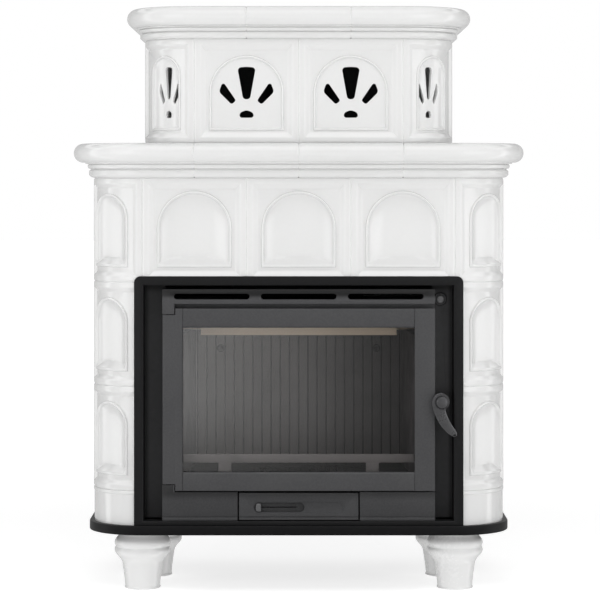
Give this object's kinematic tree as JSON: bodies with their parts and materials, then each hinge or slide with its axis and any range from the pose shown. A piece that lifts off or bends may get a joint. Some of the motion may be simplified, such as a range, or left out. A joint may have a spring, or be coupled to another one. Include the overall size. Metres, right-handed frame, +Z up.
{
  "type": "tiled stove",
  "caption": "Free-standing wood stove clad in white glazed tiles with pierced crown and two cornices, round a glass-door fireplace insert on a steel tray and turned feet.",
  "frame": {"origin": "on the floor, under the middle of the outline", "axes": "+X to the right seen from the front, +Y from the door towards the flat back, +Z up"},
  "size_m": [0.972, 0.533, 1.248],
  "materials": {
    "white_glaze": "gloss",
    "black_steel": "satin",
    "dark_sheet_steel": "matte",
    "cast_iron": "satin",
    "handle_iron": "satin",
    "vermiculite": "matte",
    "fire_glass": "polished",
    "glass_rope": "matte",
    "steel": "satin"
  },
  "bodies": {
    "stove": {"back_panel": "dark_sheet_steel", "back_screws": "steel", "baffle": "vermiculite", "base_tray": "black_steel", "corner_tile_left_1": "white_glaze", "corner_tile_left_2": "white_glaze", "corner_tile_left_3": "white_glaze", "corner_tile_right_1": "white_glaze", "corner_tile_right_2": "white_glaze", "corner_tile_right_3": "white_glaze", "cornice_corner_left": "white_glaze", "cornice_corner_right": "white_glaze", "cornice_front_left": "white_glaze", "cornice_front_right": "white_glaze", "cornice_sides": "white_glaze", "crown_corner_left": "white_glaze", "crown_corner_right": "white_glaze", "crown_sides": "white_glaze", "crown_tile_left": "white_glaze", "crown_tile_right": "white_glaze", "fireback": "cast_iron", "firebox_shell": "dark_sheet_steel", "flue_pipe": "dark_sheet_steel", "foot_bolts": "steel", "foot_front_left": "white_glaze", "foot_front_right": "white_glaze", "foot_rear_left": "white_glaze", "foot_rear_right": "white_glaze", "front_plate": "cast_iron", "front_tile_center": "white_glaze", "front_tile_left": "white_glaze", "front_tile_right": "white_glaze", "grate": "cast_iron", "hearth_plate": "cast_iron", "hinge_pins": "steel", "log_retainer": "cast_iron", "plinth_left": "white_glaze", "plinth_right": "white_glaze", "side_linings": "vermiculite", "side_tiles_left": "white_glaze", "side_tiles_right": "white_glaze", "smoke_box": "dark_sheet_steel", "support_frame": "dark_sheet_steel", "surround_frame": "black_steel", "top_cornice_front": "white_glaze", "top_cornice_left": "white_glaze", "top_cornice_right": "white_glaze", "top_cornice_sides": "white_glaze", "top_cover": "dark_sheet_steel"},
    "door": {"door_frame": "cast_iron", "door_glass": "fire_glass", "glass_clips": "steel", "door_seal": "glass_rope"},
    "handle": {"door_handle": "handle_iron", "latch_cam": "steel"},
    "drawer": {"ash_drawer_front": "cast_iron", "ash_pan": "dark_sheet_steel"},
    "slider": {"air_slider": "steel"},
    "damper_rod": {"damper": "steel"}
  },
  "joints": [
    {"name": "door_swing", "type": "hinge", "parent": "stove", "child": "door", "pos_m": [-0.277, -0.2175, 0.412], "axis": [0, 0, -1], "range_deg": [0, 110]},
    {"name": "handle_turn", "type": "hinge", "parent": "door", "child": "handle", "pos_m": [0.3034, -0.2175, 0.4079], "axis": [0, -1, 0], "range_deg": [-33, 55]},
    {"name": "drawer_slide", "type": "slide", "parent": "stove", "child": "drawer", "axis": [0, -1, 0], "range_m": [0, 0.2]},
    {"name": "air_slide", "type": "slide", "parent": "drawer", "child": "slider", "axis": [1, 0, 0], "range_m": [0, 0.08]},
    {"name": "damper_pull", "type": "slide", "parent": "stove", "child": "damper_rod", "axis": [0, -1, 0], "range_m": [0, 0.08]}
  ]
}
